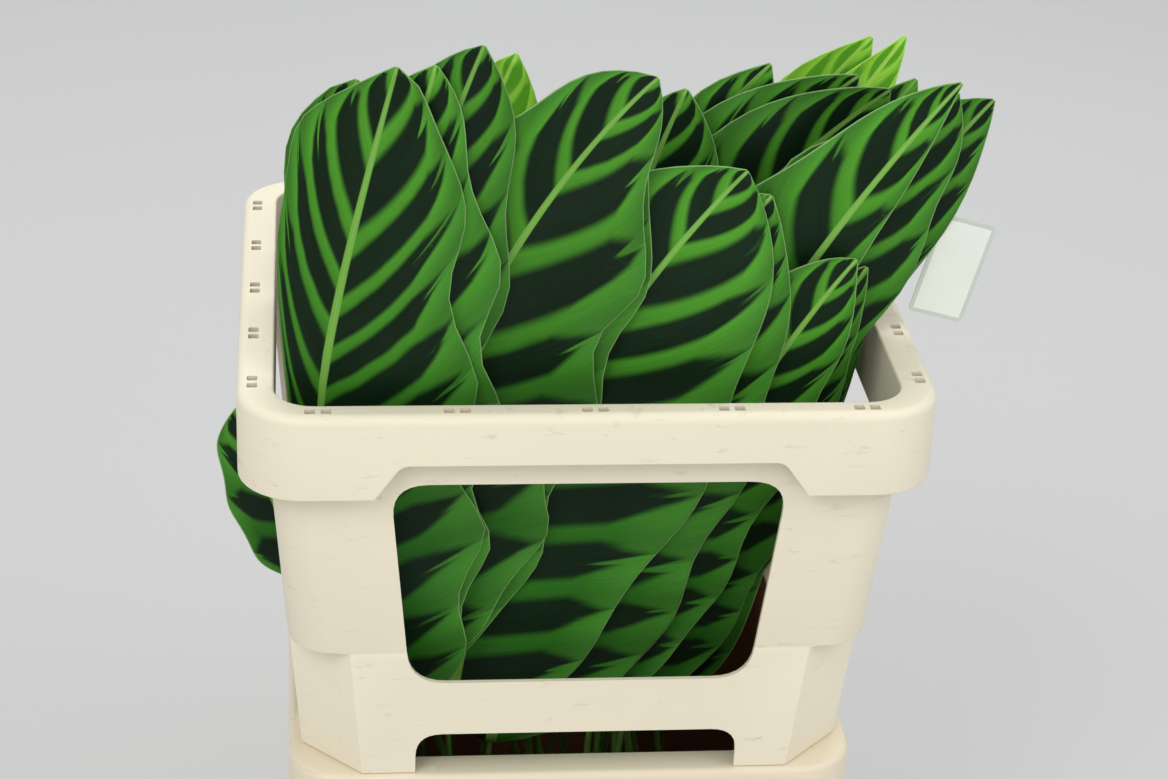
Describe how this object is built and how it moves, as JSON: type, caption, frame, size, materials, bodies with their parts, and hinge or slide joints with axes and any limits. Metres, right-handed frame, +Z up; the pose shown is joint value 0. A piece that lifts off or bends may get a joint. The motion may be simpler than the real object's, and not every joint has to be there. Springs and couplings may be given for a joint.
{
  "type": "bucket of cut zebra plant leaves",
  "caption": "Open plastic flower bucket with a windowed collar, holding large striped prayer-plant leaves upright in shallow water.",
  "frame": {"origin": "middle of the bucket's underside, on the surface that it stands on", "axes": "+Z up, the front of the bucket and the lit faces of the leaves towards -Y, +X to the right seen from the front"},
  "size_m": [0.463, 0.35, 0.7324],
  "materials": {
    "collar_plastic": "satin",
    "bucket_plastic": "satin",
    "water": "gloss",
    "card_plastic": "gloss",
    "leaf": "satin",
    "young_leaf": "satin"
  },
  "bodies": {
    "root": {"bucket": "bucket_plastic", "water": "water", "label_card": "card_plastic", "collar_rim": "collar_plastic", "collar_rail_front": "collar_plastic", "collar_rail_rear": "collar_plastic", "collar_rail_left": "collar_plastic", "collar_rail_right": "collar_plastic", "collar_post_front_left": "collar_plastic", "collar_post_front_right": "collar_plastic", "collar_post_rear_left": "collar_plastic", "collar_post_rear_right": "collar_plastic", "leaf_01": "leaf", "leaf_02": "leaf", "leaf_03": "leaf", "leaf_04": "leaf", "leaf_05": "leaf", "leaf_06": "leaf", "leaf_07": "leaf", "leaf_08": "leaf", "leaf_09": "leaf", "leaf_10": "leaf", "leaf_11": "leaf", "leaf_12": "leaf", "leaf_13": "leaf", "leaf_14": "leaf", "leaf_15": "leaf", "leaf_16": "leaf", "leaf_17": "leaf", "leaf_18": "leaf", "leaf_19": "leaf", "leaf_20": "leaf", "leaf_21": "young_leaf", "leaf_22": "young_leaf", "leaf_23": "young_leaf", "leaf_24": "leaf", "leaf_25": "leaf", "leaf_26": "leaf", "leaf_27": "leaf", "leaf_28": "leaf", "leaf_29": "leaf", "leaf_30": "leaf", "leaf_31": "leaf", "leaf_32": "leaf", "leaf_33": "leaf", "leaf_34": "leaf"}
  },
  "joints": []
}
